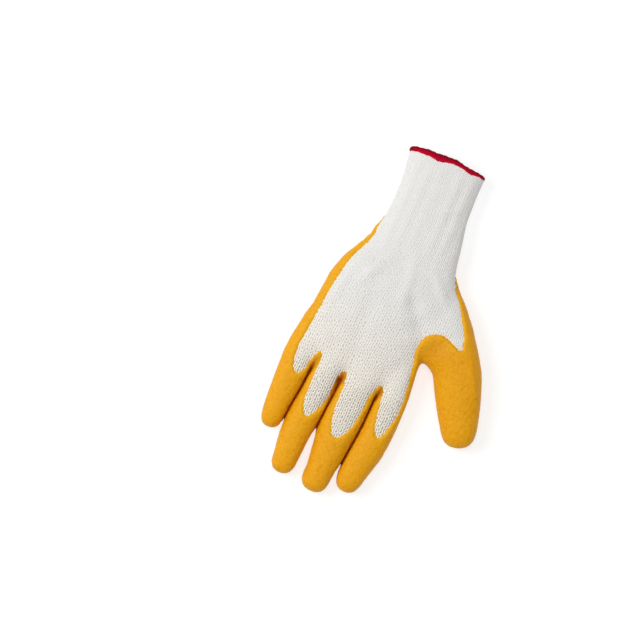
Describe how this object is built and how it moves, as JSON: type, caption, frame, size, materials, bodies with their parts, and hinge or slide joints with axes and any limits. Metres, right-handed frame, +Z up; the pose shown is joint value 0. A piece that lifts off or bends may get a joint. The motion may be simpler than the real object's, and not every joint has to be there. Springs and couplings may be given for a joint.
{
  "type": "heavy-duty glove",
  "caption": "Right-hand knitted work glove with a ribbed cuff and a crinkled latex coating over the palm and fingers.",
  "frame": {"origin": "on the surface that the glove lies on, under the middle of its box", "axes": "+Y from the cuff towards the fingertips, +Z up out of the back of the hand, the thumb on the -X side"},
  "size_m": [0.1432, 0.24, 0.0268],
  "materials": {
    "knit": "warm white cotton and polyester knit, matt",
    "latex": "amber latex with a fine crinkled surface, satin",
    "overlock": "crimson overlocked yarn, matt"
  },
  "bodies": {
    "root": {"cuff_hem": "overlock", "rib_cuff": "knit", "knit_palm": "knit", "knit_thumb": "knit", "latex_palm": "latex", "latex_thumb": "latex", "knit_index": "knit", "latex_index": "latex", "knit_middle": "knit", "latex_middle": "latex", "knit_ring": "knit", "latex_ring": "latex", "knit_little": "knit", "latex_little": "latex"}
  },
  "joints": []
}
